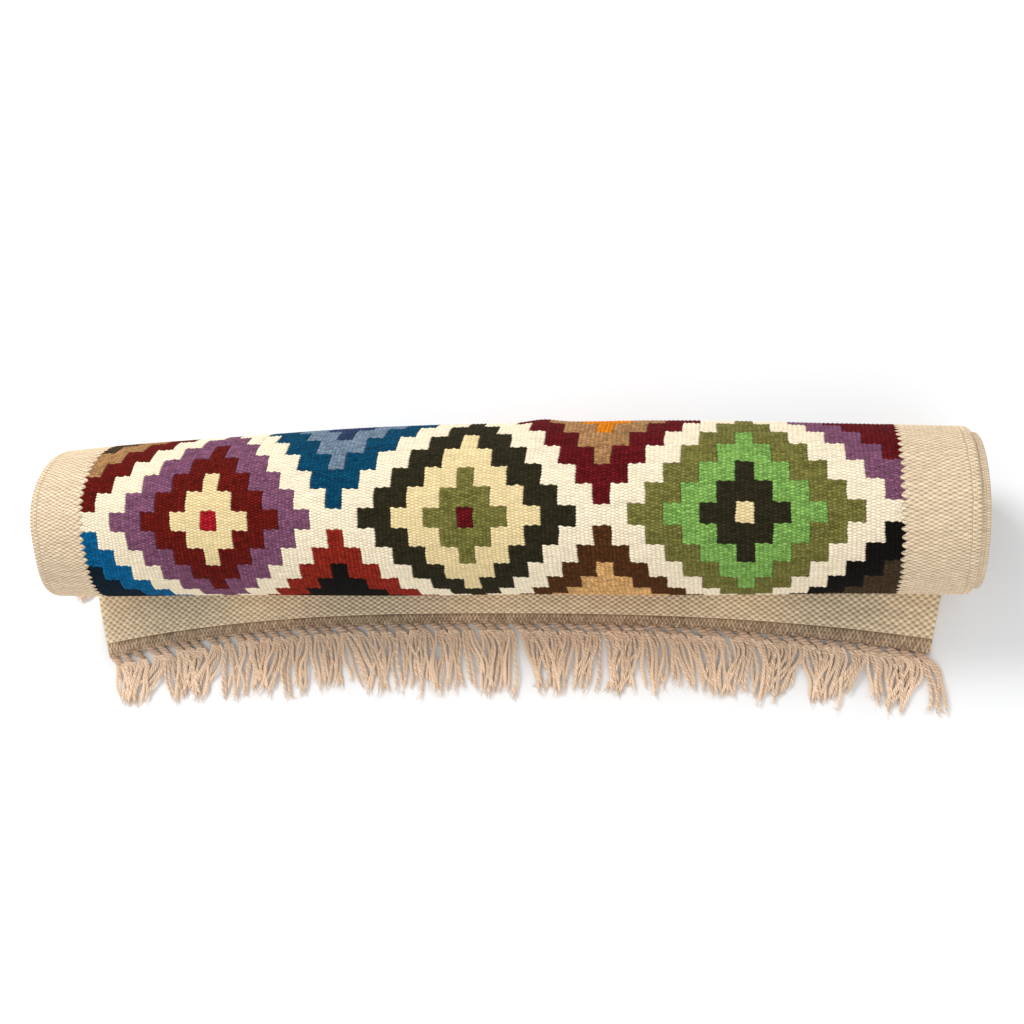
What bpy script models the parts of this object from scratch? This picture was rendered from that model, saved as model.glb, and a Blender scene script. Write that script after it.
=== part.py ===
"""Rolled flat-woven rug.

The rug is folded in half, end on end, and rolled up from the fold.  The outer end comes out from under
the roll towards -Y and lies flat as a flap with a woven end band, a row of knots and a fringe.
X runs along the roll (the rug's width), +Y is behind the roll and +Z is up.  The origin lies on the
underside of the rug, below the axis of the roll.  Metres throughout.
"""

import math

import bmesh
import bpy

# ---- the cloth -------------------------------------------------------------------------------------
RUG_WIDTH = 0.900           # across the wefts' ends, selvedge to selvedge
CLOTH = 0.0050              # thickness of the weave
LAYER_GAP = 0.0005          # air between two layers of the roll
NODE_GAP = 0.0003           # air between two pieces that touch
STEP = 0.0160               # width of one step of the diamonds

# ---- the roll --------------------------------------------------------------------------------------
ROLL_RADIUS = 0.0850        # outer face to axis, where the outer end meets the floor
ROWS_PER_TURN = 26          # weft rows of the pattern in one turn
ROLLED_ROWS = 65            # rows of the double cloth from the floor to the fold
OUTER_ROWS = 26             # rows of the outermost turn, which shows
FLAT_ANGLE = math.radians(7.0)   # half of the small flat that the roll lies on
INNER_SHIFT = 0.0080        # the inner half stands out this far at the right end

# ---- the pattern -----------------------------------------------------------------------------------
FIELD_HALF = 24             # steps from the middle to the last column of the field
RING_ENDS = (0, 2, 4, 6)    # last step of a diamond's centre, cross, middle ring and outer ring
DIAMOND_PITCH = 16          # steps between whole diamonds across the rug
FIRST_ROW = 14              # pattern row at the outer end; row 0 faces up and to the front
FIELD_SHIFT = -0.0040       # the field was woven this far off the middle of the rug
SELVEDGE = 0.0080           # width of the thick edge cords

# ---- the outer end ---------------------------------------------------------------------------------
HINGE_Y = -0.0600           # where the free flap starts
FLAP_END = 0.0915           # contact line to the band's outer edge, at mid width
END_BOWS = (0.0400, 0.0286)      # how much further the left and right corners reach
BOW_POWER = 2.5
HINGE_DRAWS = (-0.0048, 0.0142)  # how far each side has moved inwards where the flap starts
CORNER_DRAWS = (0.0221, 0.0292)  # and at its corners
BAND_WIDTH = 0.0110         # woven taupe band
KNOT_DEPTH = 0.0050         # row of knots
KNOT_HEIGHT = 0.0062
TASSELS = 12                # bundles of the fringe
TASSEL_LENGTH = 0.0640
TASSEL_HEIGHT = 0.0030
TASSEL_SPLAY = 0.10         # sideways slant of the outermost bundles, as a share of their length
CORNER_SHORTER = 0.25       # how much shorter the outermost bundles lie, as a share
FLAP_COLUMNS = 12

# ---- the inner end, tucked under the roll ------------------------------------------------------------
TUCKED_END = 0.0300         # contact line to the inner end's band
TUCKED_FRINGE = 0.0190      # length of its fringe under the roll
TUCKED_HEIGHT = 0.0025
STRAY_ROOT = (0.0050, 0.0115)    # width and depth of the stray tassel at its knot
STRAY_TIP = (0.0140, 0.0140)     # and at its tip
STRAY_REACH = 0.0190             # from knot to tip, outwards
STRAY_Y = -0.0520                # its rear corner at the knot

FLAT_SINK = ROLL_RADIUS * (1 - math.cos(FLAT_ANGLE))
TURN = 2 * math.pi
ROLL_PITCH = 2 * (CLOTH + LAYER_GAP)
HALF_WIDTH = RUG_WIDTH / 2
FIELD_EDGE = (FIELD_HALF + 0.5) * STEP
FOLD_SIDES = 8

COLOURS = {
    "cream": (0.86, 0.74, 0.54), "taupe": (0.30, 0.22, 0.15), "fringe": (0.62, 0.48, 0.36),
    "purple": (0.16, 0.06, 0.12), "rust": (0.17, 0.02, 0.015), "straw": (0.84, 0.68, 0.36),
    "charcoal": (0.035, 0.032, 0.018), "olive": (0.16, 0.15, 0.045), "leaf": (0.16, 0.36, 0.09),
    "crimson": (0.40, 0.012, 0.02), "burgundy": (0.11, 0.012, 0.015), "teal": (0.005, 0.11, 0.19),
    "navy": (0.03, 0.05, 0.12), "blue": (0.005, 0.10, 0.22), "brick": (0.20, 0.02, 0.012),
    "brown": (0.09, 0.03, 0.012), "tan": (0.56, 0.30, 0.12), "black": (0.010, 0.009, 0.007),
    "orange": (0.68, 0.21, 0.02),
}

# Whole diamonds: name, first column, colours from the centre out.
WHOLE_DIAMONDS = (
    ("left_diamond", -1, ("crimson", "straw", "rust", "purple")),
    ("middle_diamond", 0, ("burgundy", "olive", "straw", "charcoal")),
    ("right_diamond", 1, ("straw", "charcoal", "leaf", "olive")),
)
RING_NAMES = ("centre", "cross", "middle_ring", "outer_ring")
# Staggered diamonds: name, column in half pitches, row, colours of the core and of the outer ring.
STAGGERED_DIAMONDS = (
    ("upper_far_left", -3, 7, "tan", "rust"), ("upper_left", -1, 7, "navy", "teal"),
    ("upper_right", 1, 7, "orange", "burgundy"), ("upper_far_right", 3, 7, "burgundy", "purple"),
    ("lower_far_left", -3, -7, "navy", "blue"), ("lower_left", -1, -7, "black", "brick"),
    ("lower_right", 1, -7, "tan", "brown"), ("lower_far_right", 3, -7, "brown", "black"),
)
END_DIAMONDS = (("end_left", -1, "leaf"), ("end_middle", 0, "crimson"), ("end_right", 1, "teal"))


def clear_scene():
    for item in list(bpy.data.objects):
        bpy.data.objects.remove(item, do_unlink=True)


def wool(colour):
    """One Principled material per colour, shared by the pieces that have it."""
    material = bpy.data.materials.get(colour)
    if material is None:
        material = bpy.data.materials.new(colour)
        material.use_nodes = True
        shader = material.node_tree.nodes["Principled BSDF"]
        shader.inputs["Base Color"].default_value = (*COLOURS[colour], 1)
        shader.inputs["Roughness"].default_value = 0.9
        shader.inputs["Metallic"].default_value = 0.0
        material.diffuse_color = (*COLOURS[colour], 1)
    return material


def station_angle(row):
    """Angle of a row line round the roll, from the floor up the back; line 0 closes the flat."""
    turns, line = divmod(row, ROWS_PER_TURN)
    angle = max(line * TURN / ROWS_PER_TURN, FLAT_ANGLE)
    return turns * TURN + angle


def spiral_point(angle, depth):
    """The (y, z) of the rolled cloth at an angle, this far in from the outermost face."""
    radius = ROLL_RADIUS - ROLL_PITCH * (angle - FLAT_ANGLE) / TURN - depth
    lowest = ROLL_RADIUS - radius
    height = ROLL_RADIUS - FLAT_SINK - radius * math.cos(angle)
    return radius * math.sin(angle), max(height, lowest)


def add_object(name, mesh, colour, parent=None):
    item = bpy.data.objects.new(name, mesh)
    bpy.context.collection.objects.link(item)
    item.data.materials.append(wool(colour))
    if parent is not None:
        item.parent = parent
        item.matrix_parent_inverse = parent.matrix_world.inverted()
    return item


def shell(name, cells, place, colour, parent=None):
    """A closed slab over a set of (column, line) grid cells.  place(column, line, inner) gives a corner."""
    work = bmesh.new()
    corners = {}
    sides = set()

    def corner(column, line, inner):
        key = (column, line, inner)
        if key not in corners:
            corners[key] = work.verts.new(place(column, line, inner))
        return corners[key]

    for column, line in sorted(cells):
        ring = [(column, line), (column + 1, line), (column + 1, line + 1), (column, line + 1)]
        work.faces.new([corner(*point, 0) for point in ring])
        work.faces.new([corner(*point, 1) for point in reversed(ring)])
        for first, last in zip(ring, ring[1:] + ring[:1]):
            if (last, first) in sides:
                sides.remove((last, first))
            else:
                sides.add((first, last))
    for first, last in sorted(sides):
        work.faces.new([corner(*last, 0), corner(*first, 0), corner(*first, 1), corner(*last, 1)])
    bmesh.ops.recalc_face_normals(work, faces=work.faces)
    mesh = bpy.data.meshes.new(name)
    work.to_mesh(mesh)
    work.free()
    return add_object(name, mesh, colour, parent)


def inset(cells, column, line):
    """Which way a corner of a patch moves to leave half a gap to the patches around it."""
    def held(across, along):
        return 1 if (column + across, line + along) in cells else 0

    def sign(value):
        return (value > 0) - (value < 0)
    right = held(0, 0) + held(0, -1)
    left = held(-1, 0) + held(-1, -1)
    after = held(0, 0) + held(-1, 0)
    before = held(0, -1) + held(-1, -1)
    return sign(right - left), sign(after - before)


def outer_patch(name, cells, colour, edges=None):
    """A patch of the outermost turn.  Cells are (step column, row line); edges maps a column to its x."""
    half = NODE_GAP / 2

    def place(column, line, inner):
        across, along = inset(cells, column, line)
        x = edges[column] if edges else (column - 0.5) * STEP + FIELD_SHIFT
        angle = station_angle(line)
        y, z = spiral_point(angle, inner * CLOTH)
        if along:
            near = station_angle(line + along)
            other = spiral_point(near, inner * CLOTH)
            run = math.hypot(other[0] - y, other[1] - z)
            y += (other[0] - y) * half / run
            z += (other[1] - z) * half / run
        return x + across * half, y, z

    return shell(name, cells, place, colour)


def row_line(row):
    """The first line of a pattern row."""
    return FIRST_ROW - row


def diamond_cells(column, row, low, high):
    """Cells of a ring of the stepped diamond about a column and row, cut by the field and the turn."""
    cells = set()
    for i in range(-high, high + 1):
        for j in range(-high, high + 1):
            if low <= abs(i) + abs(j) <= high:
                line = row_line(row + j)
                if abs(column + i) <= FIELD_HALF and 0 <= line < OUTER_ROWS:
                    cells.add((column + i, line))
    return cells


def build_pattern():
    """The diamonds and the cream ground of the outermost turn."""
    ground = {(i, line) for i in range(-FIELD_HALF, FIELD_HALF + 1) for line in range(OUTER_ROWS)}
    half_pitch = DIAMOND_PITCH // 2
    patches = []
    for name, place, colours in WHOLE_DIAMONDS:
        low = 0
        for ring, high, colour in zip(RING_NAMES, RING_ENDS, colours):
            patches.append((f"{name}_{ring}", diamond_cells(place * DIAMOND_PITCH, 0, low, high), colour))
            low = high + 1
    for name, place, row, core, outer in STAGGERED_DIAMONDS:
        column = place * half_pitch
        patches.append((f"{name}_diamond_core", diamond_cells(column, row, 0, RING_ENDS[2]), core))
        patches.append((f"{name}_diamond_ring", diamond_cells(column, row, RING_ENDS[2] + 1, RING_ENDS[3]),
                        outer))
    for name, place, colour in END_DIAMONDS:
        cells = diamond_cells(place * DIAMOND_PITCH, FIRST_ROW, 0, RING_ENDS[3])
        patches.append((f"{name}_diamond", cells, colour))
    for name, cells, colour in patches:
        outer_patch(name, cells, colour)
        ground -= cells
    outer_patch("field_ground", ground, "cream")
    inner_edge = HALF_WIDTH - SELVEDGE
    strips = (("right_border", FIELD_EDGE + FIELD_SHIFT, inner_edge),
              ("right_selvedge", inner_edge, HALF_WIDTH),
              ("left_border", -inner_edge, FIELD_SHIFT - FIELD_EDGE),
              ("left_selvedge", -HALF_WIDTH, -inner_edge))
    for name, start, end in strips:
        cells = {(0, line) for line in range(OUTER_ROWS)}
        outer_patch(name, cells, "cream", edges={0: start, 1: end})


def profile_strip(name, outer, inner, half_width, shift, colour, parent=None):
    """A closed strip along X between two matching lines of (y, z) points."""
    def place(column, line, side):
        y, z = (inner if side else outer)[line]
        return (half_width if column else -half_width) + shift, y, z
    return shell(name, {(0, line) for line in range(len(outer) - 1)}, place, colour, parent)


def end_points(points, start, end):
    """The same line of points, its two ends drawn back by half a gap where asked."""
    points = list(points)
    for wanted, tip, near in ((start, 0, 1), (end, -1, -2)):
        if wanted:
            (y, z), (y2, z2) = points[tip], points[near]
            run = math.hypot(y2 - y, z2 - z)
            points[tip] = (y + (y2 - y) * NODE_GAP / 2 / run, z + (z2 - z) * NODE_GAP / 2 / run)
    return points


def build_inner_cloth():
    """What the outermost turn covers: the deeper turns, the fold and the inner half to its fringe."""
    deep = range(OUTER_ROWS, ROLLED_ROWS + 1)
    outer, inner = [[spiral_point(station_angle(row), depth) for row in deep] for depth in (0, CLOTH)]
    profile_strip("inner_turns", end_points(outer, True, True), end_points(inner, True, True),
                  HALF_WIDTH, 0, "cream")

    rows = range(0, ROLLED_ROWS + 1)
    under = CLOTH + LAYER_GAP
    start = -TUCKED_END + NODE_GAP / 2
    outer, inner = [[(start, depth)] + [spiral_point(station_angle(row), depth) for row in rows]
                    for depth in (under, under + CLOTH)]
    profile_strip("under_half", end_points(outer, False, True), end_points(inner, False, True),
                  HALF_WIDTH, INNER_SHIFT, "cream")

    band_end = -TUCKED_END - BAND_WIDTH
    outer, inner = [[(-TUCKED_END - NODE_GAP / 2, z), (band_end + NODE_GAP / 2, z)]
                    for z in (under, under + CLOTH)]
    profile_strip("tucked_end_band", outer, inner, HALF_WIDTH, INNER_SHIFT, "taupe")
    fringe_end = band_end - TUCKED_FRINGE
    outer, inner = [[(band_end - NODE_GAP / 2, z), (fringe_end, z)] for z in (under, under + TUCKED_HEIGHT)]
    profile_strip("tucked_fringe", outer, inner, HALF_WIDTH - SELVEDGE, INNER_SHIFT, "fringe")

    build_fold()


def build_fold():
    """The turned end of the double cloth in the core: a half round bar that joins the two halves."""
    angle = station_angle(ROLLED_ROWS)
    ends = [spiral_point(angle, depth) for depth in (0, 2 * CLOTH + LAYER_GAP)]
    previous = spiral_point(station_angle(ROLLED_ROWS - 1), 0)
    along = (ends[0][0] - previous[0], ends[0][1] - previous[1])
    run = math.hypot(*along)
    along = (along[0] / run, along[1] / run)
    middle = [(ends[0][k] + ends[1][k]) / 2 for k in (0, 1)]
    half = [(ends[0][k] - ends[1][k]) / 2 for k in (0, 1)]
    radius = math.hypot(*half)
    profile = []
    for k in range(FOLD_SIDES + 1):
        turn = math.pi * k / FOLD_SIDES
        profile.append([middle[i] + half[i] * math.cos(turn) + along[i] * radius * math.sin(turn)
                        + along[i] * NODE_GAP for i in (0, 1)])
    work = bmesh.new()
    rings = [[work.verts.new((x, y, z)) for y, z in profile] for x in (-HALF_WIDTH, HALF_WIDTH)]
    work.faces.new(rings[0])
    work.faces.new(list(reversed(rings[1])))
    for k in range(FOLD_SIDES + 1):
        after = (k + 1) % (FOLD_SIDES + 1)
        work.faces.new([rings[0][after], rings[0][k], rings[1][k], rings[1][after]])
    bmesh.ops.recalc_face_normals(work, faces=work.faces)
    mesh = bpy.data.meshes.new("core_fold")
    work.to_mesh(mesh)
    work.free()
    add_object("core_fold", mesh, "cream")


def edge_half(side, y):
    """How far from the middle the cloth's left (0) or right (1) edge lies on the floor at this y."""
    if y > HINGE_Y:
        return HALF_WIDTH - HINGE_DRAWS[side] * max(y / HINGE_Y, 0.0)
    share = (HINGE_Y - y) / (FLAP_END + END_BOWS[side] + HINGE_Y)
    return HALF_WIDTH - HINGE_DRAWS[side] - (CORNER_DRAWS[side] - HINGE_DRAWS[side]) * share


def flap_point(across, reach):
    """The (x, y) of the outer end: across runs from -1 to 1, reach is the distance out at mid width."""
    side = int(across > 0)
    y = -reach * (1 + END_BOWS[side] / FLAP_END * abs(across) ** BOW_POWER)
    return across * edge_half(side, y), y


def bowed_strip(name, near, far, height, colour, parent):
    """A slab across the flap between two bowed lines, given by their reach at mid width."""
    def place(column, line, inner):
        across = 2 * column / FLAP_COLUMNS - 1
        if line == 0 and near is None:
            x, y = across * edge_half(int(across > 0), HINGE_Y), HINGE_Y - NODE_GAP
        else:
            x, y = flap_point(across, far if line else near)
        return x, y, inner * height
    return shell(name, {(column, 0) for column in range(FLAP_COLUMNS)}, place, colour, parent)


def build_end_border():
    """The cloth between the roll and the flap, its sides drawn in towards the flap."""
    def place(column, line, inner):
        y = HINGE_Y if line == 0 else spiral_point(FLAT_ANGLE, inner * CLOTH)[0] - NODE_GAP
        half = edge_half(column, y)
        return (half if column else -half), y, inner * CLOTH
    shell("end_border", {(0, 0)}, place, "cream")


def build_outer_end():
    """The end border under the roll, and the flap with its band, knots and fringe."""
    build_end_border()
    hinge = bpy.data.objects.new("flap_hinge", None)
    hinge.location = (0, HINGE_Y, CLOTH)
    bpy.context.collection.objects.link(hinge)
    bpy.context.view_layer.update()

    cream_end = FLAP_END - BAND_WIDTH
    knots_end = FLAP_END + KNOT_DEPTH
    bowed_strip("flap_panel", None, cream_end - NODE_GAP, CLOTH, "cream", hinge)
    bowed_strip("end_band", cream_end, FLAP_END - NODE_GAP, CLOTH, "taupe", hinge)
    bowed_strip("knot_row", FLAP_END, knots_end - NODE_GAP, KNOT_HEIGHT, "fringe", hinge)
    for number in range(TASSELS):
        build_tassel(number, knots_end, hinge)
    build_stray_tassel()


def build_tassel(number, start, hinge):
    """One flat bundle of the fringe, slanting outwards."""
    side_gap = 2 * NODE_GAP / RUG_WIDTH
    edges = [2 * (number + k) / TASSELS - 1 + side_gap * (1 - 2 * k) for k in (0, 1)]

    def place(column, line, inner):
        x, y = flap_point(edges[column], start)
        if line:
            x += edges[column] * TASSEL_SPLAY * TASSEL_LENGTH
            y -= TASSEL_LENGTH * (1 - CORNER_SHORTER * edges[column] ** 2)
        return x, y, inner * TASSEL_HEIGHT

    shell(f"fringe_bundle_{number + 1:02d}", {(0, 0)}, place, "fringe", hinge)


def build_stray_tassel():
    """A tassel of the inner end that sticks out past the left edge of the flap."""
    knot = (-edge_half(0, HINGE_Y) - NODE_GAP, STRAY_Y)
    tip = (knot[0] - STRAY_REACH, knot[1] - STRAY_ROOT[1] / 2)

    def place(column, line, inner):
        x, y = tip if line else knot
        width, depth = STRAY_TIP if line else STRAY_ROOT
        return x - width * (1 - column), y - depth * column, inner * TASSEL_HEIGHT

    shell("stray_tassel", {(0, 0)}, place, "fringe")


def main():
    clear_scene()
    build_pattern()
    build_inner_cloth()
    build_outer_end()


main()
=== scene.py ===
"""The look of the rolled flat-woven rug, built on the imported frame.

Every visible cloth is woven in geometry: the wefts pass over every second warp and show there as wide
grains, staggered from one weft to the next.  A cloth position is a column (one warp) across the rug and
a unit (one weft) along it.
"""

import math

import bpy
import numpy as np
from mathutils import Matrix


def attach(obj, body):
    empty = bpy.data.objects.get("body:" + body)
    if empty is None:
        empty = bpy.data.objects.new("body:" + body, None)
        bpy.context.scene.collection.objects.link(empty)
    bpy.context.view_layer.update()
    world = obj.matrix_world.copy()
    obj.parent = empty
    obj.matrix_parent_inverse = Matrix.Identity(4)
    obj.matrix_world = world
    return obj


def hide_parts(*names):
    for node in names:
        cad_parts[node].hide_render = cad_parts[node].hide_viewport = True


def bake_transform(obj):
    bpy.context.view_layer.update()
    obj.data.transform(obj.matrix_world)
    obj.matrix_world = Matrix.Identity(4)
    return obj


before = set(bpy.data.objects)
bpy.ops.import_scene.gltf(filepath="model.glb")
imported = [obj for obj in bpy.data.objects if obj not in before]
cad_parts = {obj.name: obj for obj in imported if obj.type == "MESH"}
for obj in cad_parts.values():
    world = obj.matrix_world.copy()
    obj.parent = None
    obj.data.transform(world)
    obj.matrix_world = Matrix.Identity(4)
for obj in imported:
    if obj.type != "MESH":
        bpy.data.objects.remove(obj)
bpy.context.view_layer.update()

# ---- driving sizes, the same as the frame's ----------------------------------------------------------
RUG_WIDTH, RUG_LENGTH = 0.900, 2.440
CLOTH = 0.0050
LAYER_GAP = 0.0005
ROLL_RADIUS = 0.0850
ROWS_PER_TURN = 26
OUTER_ROWS, ROLLED_ROWS = 26, 65
FLAT_ANGLE = math.radians(7.0)
INNER_SHIFT = 0.0080
FIELD_HALF, FIRST_ROW = 24, 14
RING_ENDS = (0, 2, 4, 6)
HINGE_Y = -0.0600
FLAP_END, BOW_POWER, BAND_WIDTH = 0.0915, 2.5, 0.0110
END_BOWS = (0.0400, 0.0286)       # how much further out the end's left and right corners lie than its middle
HINGE_DRAWS = (-0.0048, 0.0142)   # how far the left and right sides have moved inwards at the hinge
CORNER_DRAWS = (0.0221, 0.0292)   # and at the corners
BUNDLES, TASSEL_LENGTH, CORNER_SHORTER = 12, 0.0640, 0.25
TUCKED_END, TUCKED_FRINGE = 0.0300, 0.0190

# ---- the weave -----------------------------------------------------------------------------------------
COLUMNS = 226               # warps across the rug
STEP_COLUMNS = 4            # warps in one step of a diamond
FIELD_CENTRE = 112          # the warp line at the middle of the pattern, a little left of the rug's middle
ROW_UNITS = 14              # wefts in one row of the pattern
BORDER_UNITS = 10           # and in the borders beside it, where the wool is thicker
SELVEDGE_COLUMNS = 2
RELIEF = 0.0013             # how far a grain stands above the hollows round it
EDGE_EASE = 0.02            # how far a patch draws back from its neighbour, in columns or units
GRAIN_SWELL = 0.40          # how far a grain pushes the wefts above and below apart, in units
TEETH_PER_ROW, TOOTH = 2.5, 0.60     # the dovetails where the field meets a border; their size in columns
FLAP_WEFT = 0.0024          # a weft of the flap, before a whole number of them is fitted in
BAND_UNITS = 3              # wefts in an end band
BAND_RIM = 0.0002           # what a band leaves free of its place in the frame, all round
FIELD_RIB, PLAIN_RIB, END_RIB, BAND_RIB = 0.6, 0.35, 0.2, 0.8    # how much of the relief is warp ribs
GROUND_SPLITS = (0, 58, 112, 166, COLUMNS)    # columns where the cream ground is cut in pieces
EDGE_ROUNDING = 0.0013      # how far the cloth's two long edges are rounded off
LIP = 0.0012                # the same for the deeper turns, and how wide their rounded lip is
FACE_GAP = 0.0001           # what keeps the deeper turns clear of the cloth that they touch

# ---- how the roll and the flap depart from an even spiral and a flat sheet -----------------------------
BACK_BULGE, BULGE_LOSS = 0.0080, 0.0160    # fullness at the back in the middle, and how much less at the ends
CREASE, CREASE_X, CREASE_WIDTH = 0.0030, 0.060, 0.018
BELLY = 0.0036              # fullness low down at the front
RIPPLE = 0.0006
SKEW = 0.0140               # how far the turns stand out at the left end, low down at the front
FLAP_WAVE = 0.0011          # lift of the free end off the floor

# ---- the fringe ----------------------------------------------------------------------------------------
KNOTS = 60
STRAND = 0.00098            # radius of one ply
PLY_PITCH = 0.0070          # one turn of a two ply strand
HAIR = (0.00026, 0.00008)   # radius of a stray fibre at its root and tip
KNOT_REACH = 0.0030         # how far a knot's middle lies past the band
KNOT_HEIGHT = 0.0031
TASSEL_HEADING = math.radians(-62)    # the way that strands leave a knot
STRAIGHT_OUT = math.radians(-90)
TUCKED_INSET = 0.0100       # how far the tucked end's knots stay in from the cloth's edges
# the two tassels that show at the left: place of the knot, heading in degrees, length
STRAY_TASSELS = ((-0.4580, -0.0480, -165, 0.021), (-0.4575, -0.0530, -150, 0.019))
STRAY_HEIGHT = 0.0036

# ---- lights and camera -----------------------------------------------------------------------------------
# name, place, size of the square, power
LIGHTS = (("key", (-1.35, 1.35, 2.40), 1.2, 58),
          ("fill", (0.5, -1.6, 1.5), 1.8, 10))
SKY_COLOUR, SKY_STRENGTH = (0.96, 0.98, 1.0, 1), 0.72
FLOOR_SIZE, FLOOR_DEPTH = 6.0, 0.0002    # half its side; how far it lies below the rug
CAMERA_PLACE = (0.253, -0.376, 1.176)
CAMERA_TURN = (19.27, 10.82, 2.83)       # degrees
CAMERA_LENS, CAMERA_SENSOR = 42.0, 36.0

TURN = 2 * math.pi
ROLL_PITCH = 2 * (CLOTH + LAYER_GAP)
FLAT_SINK = ROLL_RADIUS * (1 - math.cos(FLAT_ANGLE))
HALF_WIDTH = RUG_WIDTH / 2
COLUMN_WIDTH = RUG_WIDTH / COLUMNS
FIELD_REACH = STEP_COLUMNS * FIELD_HALF + STEP_COLUMNS // 2
FIELD_EDGES = (FIELD_CENTRE - FIELD_REACH, FIELD_CENTRE + FIELD_REACH)
ROW_ANGLE = TURN / ROWS_PER_TURN
FLAP_START = ROLL_RADIUS * math.sin(FLAT_ANGLE)
FLAP_UNITS = int(round((FLAP_START + FLAP_END - BAND_WIDTH) / FLAP_WEFT))
FLAP_UNIT = (FLAP_START + FLAP_END - BAND_WIDTH) / FLAP_UNITS

# ---- wool colours, as sRGB ------------------------------------------------------------------------------
DYES = {
    # The flap's cream is the same wool as the border, dyed lighter: painted light that lifts the flap out of
    # the roll's shadow.
    "cream": (246, 230, 201), "border": (231, 208, 178), "flap_cream_lightened": (252, 229, 195),
    "taupe": (217, 188, 158), "fringe": (238, 210, 182), "knot": (200, 170, 144),
    "purple": (124, 80, 104), "rust": (98, 24, 18), "straw": (233, 210, 160), "charcoal": (44, 40, 25),
    "olive": (115, 111, 58), "leaf": (126, 167, 86), "crimson": (160, 33, 39), "burgundy": (95, 22, 26),
    "teal": (6, 66, 94), "slate": (112, 128, 145), "navy": (44, 58, 88), "blue": (4, 92, 138),
    "ink": (12, 28, 40), "brick": (138, 42, 30), "brown": (80, 47, 24), "tan": (214, 166, 110),
    "taupe_motif": (166, 125, 85), "black": (17, 13, 10), "umber": (67, 52, 36), "orange": (214, 124, 22),
}


def linear(srgb):
    return tuple((c / 255 / 12.92) if c <= 10 else ((c / 255 + 0.055) / 1.055) ** 2.4 for c in srgb)


# ==== materials ==========================================================================================

class Nodes:
    """Small helper that adds nodes to a material and joins them."""

    def __init__(self, name):
        self.material = bpy.data.materials.new(name)
        self.material.use_nodes = True
        self.tree = self.material.node_tree
        self.shader = self.tree.nodes["Principled BSDF"]

    def add(self, kind, inputs=(), **settings):
        node = self.tree.nodes.new(kind)
        for key, value in settings.items():
            setattr(node, key, value)
        for key, value in dict(inputs).items():
            self.feed(node.inputs[key], value)
        return node

    def feed(self, socket, value):
        if isinstance(value, bpy.types.NodeSocket):
            self.tree.links.new(value, socket)
        else:
            socket.default_value = value

    def math(self, operation, first, second=None):
        values = {0: first} if second is None else {0: first, 1: second}
        return self.add("ShaderNodeMath", values, operation=operation).outputs[0]

    def remap(self, value, low, high, new_low, new_high):
        node = self.add("ShaderNodeMapRange", {"Value": value, "From Min": low, "From Max": high,
                                               "To Min": new_low, "To Max": new_high})
        return node.outputs["Result"]

    def point(self, x, y):
        return self.add("ShaderNodeCombineXYZ", {"X": x, "Y": y}).outputs[0]

    def noise(self, x, y, **settings):
        """A flat noise at (x, y)."""
        inputs = {"Vector": self.point(x, y), "Scale": 1.0}
        inputs.update(settings)
        return self.add("ShaderNodeTexNoise", inputs, noise_dimensions="2D").outputs[0]


def grain_nodes(n):
    """A grain's random value, its height above the hollows, the rib of its warp, and the cloth position."""
    split = n.add("ShaderNodeSeparateXYZ", {0: n.add("ShaderNodeUVMap", uv_map="weave").outputs[0]})
    across, along = split.outputs[0], split.outputs[1]
    diagonals = [n.math("FLOOR", n.math("MULTIPLY", value, 0.5)) for value in
                 (n.math("ADD", across, along), n.math("ADD", n.math("SUBTRACT", across, along), 1.0))]
    chance = n.add("ShaderNodeTexWhiteNoise", {"Vector": n.point(*diagonals)},
                   noise_dimensions="2D").outputs["Value"]
    waves = [n.math("SINE", n.math("MULTIPLY", value, math.pi)) for value in (across, along)]
    crown = n.math("POWER", n.remap(n.math("MULTIPLY", *waves), -1, 1, 0, 1), 0.7)
    rib = n.math("ABSOLUTE", waves[0])
    return chance, crown, rib, across, along


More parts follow.
